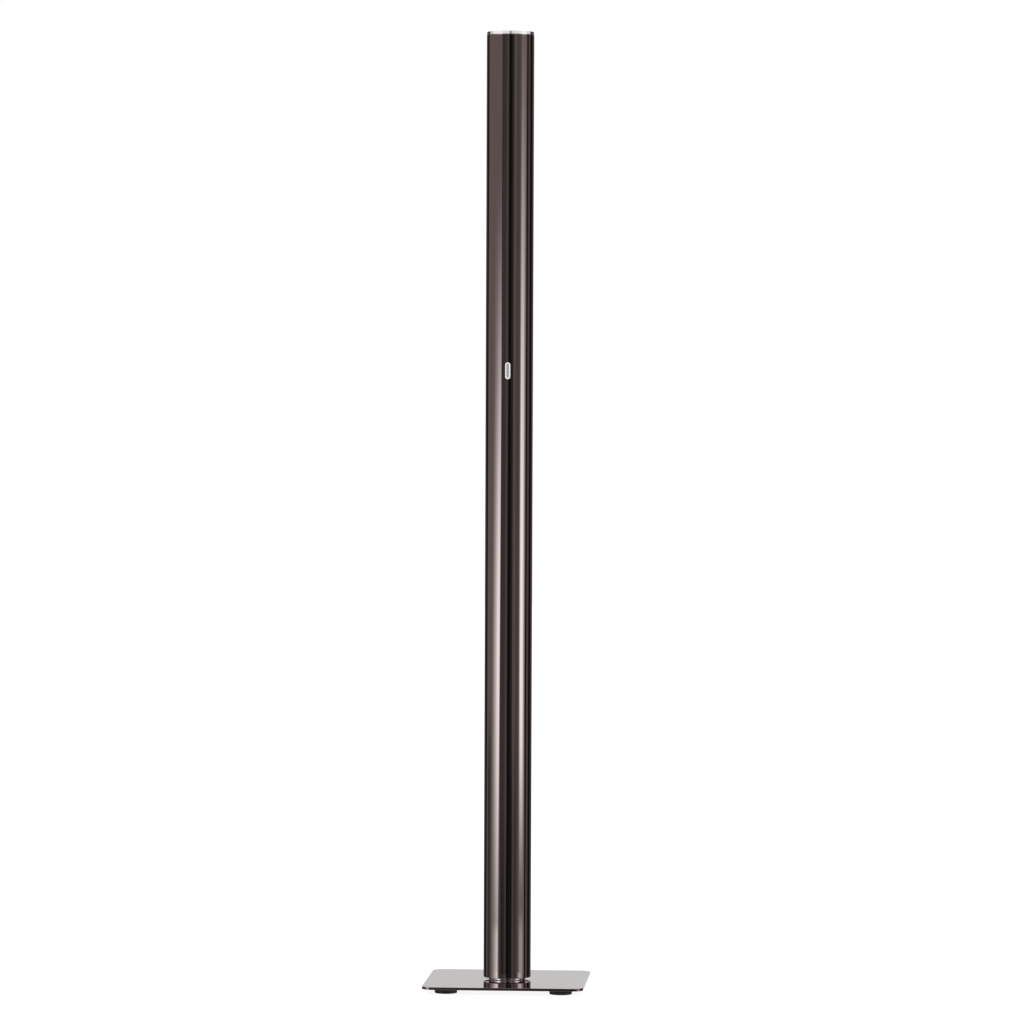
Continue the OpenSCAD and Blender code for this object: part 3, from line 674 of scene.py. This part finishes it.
# %% Drill the plate
SCREW_CIRCLE = 23 * MM
screw_places = around_axis(SCREW_CIRCLE, (45, 135, 225, 315))
SCREW_RADIUS = 3 * MM
SCREW_PLAY = 0.1 * MM
tool = bmesh.new()
for place in screw_places:
    under = place + Vector((0, 0, plate_low.z))
    rod(tool, SCREW_RADIUS + SCREW_PLAY, under - Vector((0, 0, 2 * MM)), under + Vector((0, 0, 8 * MM)))
combine(plate, tool)
tool = bmesh.new()
for place in screw_places:
    sink_depth = SCREW_RADIUS + MM
    bmesh.ops.create_cone(
        tool, cap_ends=True, segments=64, radius1=2 * SCREW_RADIUS + SCREW_PLAY + MM,
        radius2=SCREW_RADIUS + SCREW_PLAY, depth=sink_depth,
        matrix=Matrix.Translation(place + Vector((0, 0, plate_low.z - MM + sink_depth / 2))))
combine(plate, tool)
tool = bmesh.new()
for pad_node in PAD_NODES:
    pad_low, pad_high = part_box(pad_node)
    centre = Vector(((pad_low.x + pad_high.x) / 2, (pad_low.y + pad_high.y) / 2, plate_low.z))
    rod(tool, PAD_HOLE, centre - Vector((0, 0, MM)), centre + Vector((0, 0, 3.5 * MM)), steps=32)
combine(plate, tool)
print("plate faces after drilling:", len(plate.data.polygons))

# %% [markdown]
# ## Rubber pads
# Each pad is a turned disc with a recess for its screw. Its lower edge is rounded so that it doesn't
# catch on the floor, and three shallow rings are moulded into the sole for grip. One outline serves
# all four, moved to each pad's own place.

# %% Model the pads
PAD_SCREW_RECESS = 5 * MM
GRIP_DEPTH = 0.5 * MM
GRIP_WIDTH = 0.7 * MM
SOLE_ROUND = 1.4 * MM
TOP_ROUND = 0.4 * MM
for pad_node in PAD_NODES:
    pad_low, pad_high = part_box(pad_node)
    pad_radius = (pad_high.y - pad_low.y) / 2
    pad_height = pad_high.z
    outline = [(PAD_HOLE, pad_height), (PAD_HOLE, pad_height / 2), (PAD_SCREW_RECESS, pad_height / 2),
               (PAD_SCREW_RECESS, 0.3 * MM), (PAD_SCREW_RECESS + 0.3 * MM, 0)]
    for groove in (9 * MM, 12 * MM, 15 * MM):
        outline += [(groove, 0), (groove + GRIP_WIDTH / 4, GRIP_DEPTH),
                    (groove + GRIP_WIDTH, GRIP_DEPTH), (groove + 1.25 * GRIP_WIDTH, 0)]
    outline += arc(pad_radius - SOLE_ROUND, SOLE_ROUND, SOLE_ROUND, -90, 0, 6)
    outline += arc(pad_radius - TOP_ROUND, pad_height - TOP_ROUND, TOP_ROUND, 0, 90, 3)
    pad_bm = turned(outline, steps=96)
    bmesh.ops.translate(pad_bm, verts=pad_bm.verts,
                        vec=((pad_low.x + pad_high.x) / 2, (pad_low.y + pad_high.y) / 2, 0))
    piece_from(pad_bm, pad_node.replace("foot_pad", "rubber_pad"), rubber,
               nodes=[pad_node])

# %% [markdown]
# ## Neck and hub
# The column doesn't touch the plate. It stands on a hub that sits inside its foot, and the hub's
# bright neck bridges the gap, so the column seems to float over its own reflection. The neck and the
# hub are one turned piece. Its foot is rounded, which draws a dark line between the neck and its
# reflection. The part inside the column is given black chrome as painted shade, so that the gap
# stays dark from below.

# %% Model the neck
PORT_CIRCLE = bore_radius - 3.8 * MM
PORT_SCREW = 1.8 * MM
port_places = around_axis(PORT_CIRCLE, (30, 150, 210, 330))
NECK_RADIUS = 33.75 * MM
flange_z = column_low.z + MM
SCREW_HOLE_DEPTH = 13.4 * MM
NECK_BREAK = 0.4 * MM
FOOT_BREAK = 0.9 * MM
outline = [(0, hub_low.z), (NECK_RADIUS - FOOT_BREAK, hub_low.z)]
outline += arc(NECK_RADIUS - FOOT_BREAK, hub_low.z + FOOT_BREAK, FOOT_BREAK, -90, 0, 8)[1:]
outline += [(NECK_RADIUS, flange_z), (hub_radius - NECK_BREAK, flange_z)]
outline += arc(hub_radius - NECK_BREAK, flange_z + NECK_BREAK, NECK_BREAK, -90, 0, 3)[1:]
outline += arc(hub_radius - NECK_BREAK, hub_high.z - NECK_BREAK, NECK_BREAK, 0, 90, 3)
outline += [(0, hub_high.z)]
neck = piece_from(turned(outline, closed=False), "neck_polished", neck_chrome,
                  nodes=["neck_hub"])
# Painted shade: the hub's faces inside the column get the black chrome, so the gap under the column reads as
# shadow from below.
neck.data.materials.append(black_chrome_tube)
for face in neck.data.polygons:
    if face.center.z > flange_z - 0.1 * MM:
        face.material_index = 1
tool = bmesh.new()
for place in screw_places:
    bottom = place + Vector((0, 0, hub_low.z))
    rod(tool, SCREW_RADIUS + SCREW_PLAY, bottom - Vector((0, 0, MM)),
        bottom + Vector((0, 0, SCREW_HOLE_DEPTH)))
combine(neck, tool)
tool = bmesh.new()
for place in port_places:
    rod(tool, PORT_SCREW, place + Vector((0, 0, flange_z - MM)),
        place + Vector((0, 0, hub_high.z + MM)), steps=24)
combine(neck, tool)

# %% [markdown]
# ## Column
# The column is an aluminium extrusion, so its inside has four screw ports and two pairs of ribs for
# the trays along its whole length. The outside is turned first. The ports and ribs are joined on
# with a Boolean union, and then the ports, the slot for the key and the hole for the cord gland are
# cut. A mirror shows the slightest tilt of a normal, so the normals of the round outside are set
# straight out from the axis.

# %% Turn the column
TUBE_BREAK = 0.5 * MM
BORE_BREAK = 0.2 * MM
outline = [(bore_radius, column_low.z + BORE_BREAK), (bore_radius + BORE_BREAK, column_low.z)]
outline += arc(column_radius - TUBE_BREAK, column_low.z + TUBE_BREAK, TUBE_BREAK, -90, 0, 5)
outline += arc(column_radius - TUBE_BREAK, column_high.z - TUBE_BREAK, TUBE_BREAK, 0, 90, 5)
outline += [(bore_radius + BORE_BREAK, column_high.z), (bore_radius, column_high.z - BORE_BREAK)]
column = piece_from(turned(outline, steps=256), "column_polished", black_chrome_tube,
                    nodes=["column_tube"], weighted=False)

# %% Join the ports and ribs
PORT_OUTSIDE = 4.4 * MM
HEAD_ROOM = 6.4 * MM
ports_from = hub_high.z + HUB_PLAY
ports_to = ring_low.z - HEAD_ROOM
tool = bmesh.new()
for place in port_places:
    rod(tool, PORT_OUTSIDE, place + Vector((0, 0, ports_from)), place + Vector((0, 0, ports_to)), steps=32)
combine(column, tool, "UNION")
guide_y = (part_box("control_carrier")[0].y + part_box("control_carrier")[1].y) / 2
RIB = 1.2 * MM
RIB_STARTS = 28.5 * MM
RIB_GAP = 1.7 * MM
rib_offset = (RIB_GAP + RIB) / 2
rib_reach = math.sqrt((bore_radius + MM) ** 2 - guide_y ** 2) - RIB_STARTS
tool = bmesh.new()
for side in (-1, 1):
    for rib_y in (guide_y - rib_offset, guide_y + rib_offset):
        centre = Vector((side * (RIB_STARTS + rib_reach / 2), rib_y, (ports_from + ports_to) / 2))
        bmesh.ops.create_cube(tool, size=1.0, matrix=Matrix.Translation(centre) @ Matrix.Diagonal(
            (rib_reach, RIB, ports_to - ports_from, 1.0)))
combine(column, tool, "UNION")

# %% Cut the column
SLEEVE_LENGTH = 27.2 * MM
SLEEVE_WIDTH = 6.2 * MM
GLAND_HOLE = 5.1 * MM
tool = bmesh.new()
loft(tool, [slot_loop(tool, SLEEVE_LENGTH, SLEEVE_WIDTH, y)
            for y in (-column_radius - MM, -bore_radius + 2 * MM)])
bmesh.ops.translate(tool, verts=tool.verts, vec=(0, 0, control_height))
rod(tool, GLAND_HOLE, (0, bore_radius - 2 * MM, gland_height), (0, column_radius + MM, gland_height))
for place in port_places:
    rod(tool, PORT_SCREW, place + Vector((0, 0, ports_from - MM)),
        place + Vector((0, 0, ports_to + MM)), steps=24)
combine(column, tool)

# %% Set the column's normals
def straight_out(mesh, radius):
    """Normals straight out from the Z axis on the faces that lie on the outside of that radius."""
    normals = [Vector((0, 0, 0))] * len(mesh.loops)
    for face in mesh.polygons:
        middle = face.center
        if abs(face.normal.z) > 0.01 or Vector((middle.x, middle.y)).length < radius - 0.2 * MM:
            continue
        if Vector((middle.x, middle.y)).normalized().dot(face.normal.xy) < 0.9:
            continue
        for index in face.loop_indices:
            place = mesh.vertices[mesh.loops[index].vertex_index].co
            normals[index] = Vector((place.x, place.y, 0)).normalized()
    mesh.normals_split_custom_set(normals)


straight_out(column.data, column_radius)
print("column faces after cutting:", len(column.data.polygons))

# %% [markdown]
# ## Top ring, glass and gasket
# A bright ring caps the column. Its rim stands round a 3 mm glass that lies on a thin rubber gasket.
# All three are turned. The ring's side leans in by a few degrees, so it shows the ceiling panels while
# the upright column below shows the dark walls.

# %% Model the top ring
RING_BREAK = 0.7 * MM
SMALL_BREAK = 0.3 * MM
INNER_BREAK = 0.4 * MM
SEAT_RADIUS = 40.6 * MM
SPIGOT_RADIUS = 40.8 * MM
MOUTH_RADIUS = 32.5 * MM
RING_GAP = 0.4 * MM
RING_LEAN = 8
shelf_z = column_high.z + RING_GAP
lean_in = (ring_high.z - shelf_z - RING_BREAK) * math.tan(math.radians(RING_LEAN))
outline = arc(column_radius - SMALL_BREAK, shelf_z + SMALL_BREAK, SMALL_BREAK, -90, RING_LEAN, 4)
outline += arc(column_radius - lean_in - RING_BREAK, ring_high.z - RING_BREAK, RING_BREAK, RING_LEAN, 90, 6)
outline += arc(SEAT_RADIUS + RING_BREAK, ring_high.z - RING_BREAK, RING_BREAK, 90, 180, 6)
outline += [(SEAT_RADIUS, shelf_z), (MOUTH_RADIUS + INNER_BREAK, shelf_z),
            (MOUTH_RADIUS, shelf_z - INNER_BREAK), (MOUTH_RADIUS, ring_low.z),
            (SPIGOT_RADIUS - INNER_BREAK, ring_low.z), (SPIGOT_RADIUS, ring_low.z + INNER_BREAK),
            (SPIGOT_RADIUS, shelf_z)]
top_ring = piece_from(turned(outline, steps=256), "top_ring_polished", bright_chrome,
                      nodes=["top_ring"])
tool = bmesh.new()
for place in port_places:
    rod(tool, PORT_SCREW, place + Vector((0, 0, ring_low.z - MM)),
        place + Vector((0, 0, shelf_z + MM)), steps=24)
combine(top_ring, tool)

# %% Model the glass
GLASS_BEVEL = 0.4 * MM
glass_radius = (glass_high.y - glass_low.y) / 2
outline = [(0, glass_low.z), (glass_radius - GLASS_BEVEL, glass_low.z),
           (glass_radius, glass_low.z + GLASS_BEVEL), (glass_radius, glass_high.z - GLASS_BEVEL),
           (glass_radius - GLASS_BEVEL, glass_high.z), (0, glass_high.z)]
glass = piece_from(turned(outline, closed=False), "glass_polished", clear_glass,
                   nodes=["glass_disc"])

# %% Model the gasket
GASKET_WIDTH = 1.8 * MM
GASKET_ROUND = 0.3 * MM
gasket_radius = (gasket_high.y - gasket_low.y) / 2
gasket_inner = gasket_radius - GASKET_WIDTH
outline = []
for edge_r, edge_z, start in ((gasket_inner, gasket_low.z, 180), (gasket_radius, gasket_low.z, 270),
                              (gasket_radius, gasket_high.z, 0), (gasket_inner, gasket_high.z, 90)):
    inward_r = GASKET_ROUND if edge_r == gasket_inner else -GASKET_ROUND
    inward_z = GASKET_ROUND if edge_z == gasket_low.z else -GASKET_ROUND
    outline += arc(edge_r + inward_r, edge_z + inward_z, GASKET_ROUND, start, start + 90, 4)
piece_from(turned(outline), "gasket_moulded", rubber, nodes=["glass_gasket"])

# %% [markdown]
# ## Reflector and light source
# Under the glass a spun aluminium bowl throws the light up. Its wall follows a parabola and turns
# over into a flange that the gasket presses on. Dimples all round the wall break up the image of the
# chips, so the wall is given a real facet pattern by moving its vertices, ring by ring. The light
# source is a disc of yellow gel with a round dam about its rim, and the gel lies a little lower.

# %% Model the reflector
SHEET = 0.6 * MM
BOWL_FOOT = 9.5 * MM
BOWL_MOUTH = 31 * MM
FLANGE_ROUND = 1.0 * MM
FLANGE_EDGE = 0.2 * MM
bowl_depth = bowl_high.z - SHEET - bowl_low.z
flange_radius = (bowl_high.y - bowl_low.y) / 2


def bowl_wall(outward, steps=40):
    points = []
    for step in range(steps + 1):
        share = (step / steps) ** 2
        points.append((BOWL_FOOT + (BOWL_MOUTH - BOWL_FOOT) * math.sqrt(share) + outward,
                       bowl_low.z + share * bowl_depth))
    return points


outline = bowl_wall(0)[:-1]
outline += arc(BOWL_MOUTH + FLANGE_ROUND, bowl_high.z - FLANGE_ROUND, FLANGE_ROUND, 165, 90, 5)
outline += [(flange_radius - FLANGE_EDGE, bowl_high.z), (flange_radius, bowl_high.z - FLANGE_EDGE),
            (flange_radius, bowl_high.z - SHEET),
            (BOWL_MOUTH + FLANGE_ROUND + 0.5 * MM, bowl_high.z - SHEET)]
outline += bowl_wall(SHEET)[::-1][1:]
bm = turned(outline, steps=192)
DIMPLE_DEPTH = 0.12 * MM
DIMPLES_ROUND = 48
DIMPLE_ROWS = 11
for vert in bm.verts:
    radius = Vector((vert.co.x, vert.co.y)).length
    if vert.co.z > bowl_high.z - 1.5 * MM or radius < BOWL_FOOT + 0.3 * MM:
        continue
    row = (radius - BOWL_FOOT) / (BOWL_MOUTH - BOWL_FOOT) * DIMPLE_ROWS
    turn_share = math.atan2(vert.co.y, vert.co.x) / math.tau * DIMPLES_ROUND + 0.5 * (int(row) % 2)
    hollow = abs(math.sin(math.pi * row)) * abs(math.sin(math.pi * turn_share))
    vert.co.xy *= 1 + hollow * DIMPLE_DEPTH / radius
piece_from(bm, "reflector_dimpled", mirror_reflector, nodes=["reflector"])

# %% Model the light source
emitter_radius = (emitter_high.y - emitter_low.y) / 2
emitter_middle = Vector(((emitter_low.x + emitter_high.x) / 2,
                         (emitter_low.y + emitter_high.y) / 2, 0))
DAM_WIDTH = 1.0 * MM
GEL_DROP = 0.2 * MM
outline = [(0, emitter_low.z), (emitter_radius, emitter_low.z)]
outline += arc(emitter_radius - DAM_WIDTH / 2, emitter_high.z - DAM_WIDTH / 2, DAM_WIDTH / 2, 0, 180, 10)
outline += [(emitter_radius - DAM_WIDTH - 0.1 * MM, emitter_high.z - GEL_DROP),
            (0, emitter_high.z - GEL_DROP)]
bm = turned(outline, steps=96, closed=False)
bmesh.ops.translate(bm, verts=bm.verts, vec=emitter_middle)
piece_from(bm, "light_source_gel", phosphor_gel, nodes=["led_emitter"])

# %% [markdown]
# ## Bezel and key
# A slim upright satin lip sits proud of the column at about chest height, and the grey key inside it
# is pushed to dim the light. Both have a slot-shaped outline, so each is a loft from loop to loop. The
# lip's back is cut to the column's own round, and a sleeve behind it guides the key. The key's face is
# a shallow dish that the fingertip finds.

# %% Model the bezel
bezel_length = bezel_high.z - bezel_low.z
bezel_width = bezel_high.x - bezel_low.x
bezel_face = bezel_low.y
bezel_end = bezel_high.y
KEY_STEP = 0.8 * MM
key_length = key_high.z - key_low.z - 2 * KEY_STEP
key_width = key_high.x - key_low.x - 2 * KEY_STEP
KEY_GAP = 0.2 * MM
opening_length = key_length + 2 * KEY_GAP
opening_width = key_width + 2 * KEY_GAP
LIP_SIDE = 0.7 * MM
LIP_FLATTEN = 0.8
LIP_STEPS = 12
BACK_PLAY = 0.05 * MM
lip = (bezel_width - opening_width) / 2
bm = bmesh.new()
loops = [slot_loop(bm, bezel_length, bezel_width, -column_radius + MM)]
for step in range(LIP_STEPS + 1):
    turn_here = math.pi * step / LIP_STEPS
    inset = lip / 2 * (1 - math.cos(turn_here))
    depth = (bezel_face + LIP_SIDE) - LIP_SIDE * math.sin(turn_here) ** LIP_FLATTEN
    loops.append(slot_loop(bm, bezel_length - 2 * inset, bezel_width - 2 * inset, depth))
loops.append(slot_loop(bm, opening_length, opening_width, -column_radius + MM))
loft(bm, loops, closed=True)
bmesh.ops.translate(bm, verts=bm.verts, vec=(0, 0, control_height))
# The lip takes the pale satin finish, whose colour is a painted reflection.
bezel = piece_from(bm, "bezel_lip", satin_chrome, nodes=["control_bezel"])
tool = bmesh.new()
rod(tool, column_radius + BACK_PLAY, (0, 0, bezel_low.z - MM), (0, 0, bezel_high.z + MM), steps=256)
combine(bezel, tool)

# %% Add the bezel's sleeve
tool = bmesh.new()
sleeve_front = bezel_face + 1.1 * MM
sleeve_outside = (SLEEVE_LENGTH - KEY_GAP, SLEEVE_WIDTH - KEY_GAP)
loft(tool, [slot_loop(tool, *sleeve_outside, sleeve_front), slot_loop(tool, *sleeve_outside, bezel_end),
            slot_loop(tool, opening_length, opening_width, bezel_end),
            slot_loop(tool, opening_length, opening_width, sleeve_front)], closed=True)
bmesh.ops.translate(tool, verts=tool.verts, vec=(0, 0, control_height))
combine(bezel, tool, "UNION")

# %% Model the key
key_face = key_low.y
key_back = key_high.y
bm = bmesh.new()
# Each section: how much larger it is than the key's face, and its depth.
sections = [(2 * KEY_STEP, key_back), (2 * KEY_STEP, key_back - 0.9 * MM),
            (2 * KEY_STEP - 0.2 * MM, key_back - MM),
            (0, key_back - MM), (0, key_face + 0.30 * MM), (-0.12 * MM, key_face + 0.12 * MM),
            (-0.35 * MM, key_face + 0.02 * MM), (-0.7 * MM, key_face), (-1.2 * MM, key_face + 0.08 * MM),
            (-2.0 * MM, key_face + 0.22 * MM), (-3.0 * MM, key_face + 0.30 * MM)]
loft(bm, [slot_loop(bm, key_length + grown, key_width + grown, y) for grown, y in sections])
bmesh.ops.translate(bm, verts=bm.verts, vec=(0, 0, control_height))
piece_from(bm, "key_dished", key_grey, body="key", nodes=["control_key"])

# %% [markdown]
# ## Cord gland and screws
# Low on the back, a nylon gland lets the mains lead through the wall. Its flange is dome-shaped, with
# a bell mouth so that a lead can't chafe, and its back follows the column. Under the plate four
# countersunk screws with hexagon sockets hold the hub. Both are turned, then laid in place.

# %% Model the gland
GLAND_BORE = 3.6 * MM
GLAND_BODY = 5 * MM
BELL = 1.0 * MM
GLAND_ROUND = 0.9 * MM
gland_flange = (gland_high.x - gland_low.x) / 2
gland_face = gland_high.y
gland_back = gland_low.y
flange_back = column_radius - 1.5 * MM


def laid_back(bm):
    """Lays a piece turned about Z along +Y, at the gland's height."""
    bmesh.ops.rotate(bm, verts=bm.verts, cent=(0, 0, 0),
                     matrix=Matrix.Rotation(math.radians(-90), 3, "X"))
    bmesh.ops.translate(bm, verts=bm.verts, vec=(0, 0, gland_height))
    return bm


outline = [(GLAND_BORE, flange_back), (gland_flange, flange_back), (gland_flange, gland_face - GLAND_ROUND)]
outline += arc(gland_flange - GLAND_ROUND, gland_face - GLAND_ROUND, GLAND_ROUND, 15, 90, 6)
outline += arc(GLAND_BORE + BELL, gland_face - BELL, BELL, 90, 180, 8)
gland = piece_from(laid_back(turned(outline, steps=96)), "gland_moulded", black_nylon,
                   nodes=["cord_gland"])
tool = bmesh.new()
rod(tool, column_radius + BACK_PLAY, (0, 0, gland_low.z - MM), (0, 0, gland_high.z + MM), steps=256)
combine(gland, tool)
outline = [(GLAND_BORE, gland_back), (GLAND_BODY - 0.4 * MM, gland_back), (GLAND_BODY, gland_back + 0.4 * MM),
           (GLAND_BODY, gland_face - 1.6 * MM), (GLAND_BORE, gland_face - 1.6 * MM)]
combine(gland, laid_back(turned(outline, steps=96)), "UNION")

# %% Model the base screws
HEAD_RADIUS = 2 * SCREW_RADIUS
SOCKET_RADIUS = 0.77 * SCREW_RADIUS
SOCKET_DEPTH = 2.5 * MM
screw_low, screw_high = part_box("base_screws")
under = screw_low.z
outline = [(0, under), (HEAD_RADIUS - 0.3 * MM, under), (HEAD_RADIUS, under + 0.2 * MM),
           (HEAD_RADIUS, under + 0.4 * MM), (SCREW_RADIUS, under + SCREW_RADIUS),
           (SCREW_RADIUS, screw_high.z - MM), (SCREW_RADIUS - MM, screw_high.z), (0, screw_high.z)]
for number, place in enumerate(screw_places, start=1):
    bm = turned(outline, steps=48, closed=False)
    bmesh.ops.translate(bm, verts=bm.verts, vec=place)
    screw = piece_from(bm, f"base_screw_{number}", zinc_screw,
                       nodes=["base_screws"])
    tool = bmesh.new()
    rod(tool, SOCKET_RADIUS, place + Vector((0, 0, under - MM)),
        place + Vector((0, 0, under + SOCKET_DEPTH)), steps=6)
    combine(screw, tool)

# %% [markdown]
# ## Finishes for the pieces inside
# The trays, driver, board, leads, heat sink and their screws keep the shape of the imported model. Each
# came in with a plain material named for its slot in the record, and that name picks the finish here.

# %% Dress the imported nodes
FINISHES = {
    "black_chrome_plate": black_chrome_plate, "black_chrome_tube": black_chrome_tube,
    "bright_chrome": bright_chrome, "satin_chrome": satin_chrome, "rubber_black": rubber,
    "steel_screws": zinc_screw, "black_nylon": black_nylon, "zinc_sheet": zinc_sheet,
    "white_plastic": white_plastic,
    "grey_plastic": grey_plastic, "key_grey": key_grey, "board_green": board_green,
    "clear_lens": clear_lens, "raw_aluminium": machined_aluminium, "phosphor": phosphor_gel,
    "mirror_reflector": mirror_reflector, "clear_glass": clear_glass,
}
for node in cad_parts.values():
    for place, packed in enumerate(node.data.materials):
        node.data.materials[place] = FINISHES[packed.name]
print("dressed", len(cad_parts), "packed nodes")
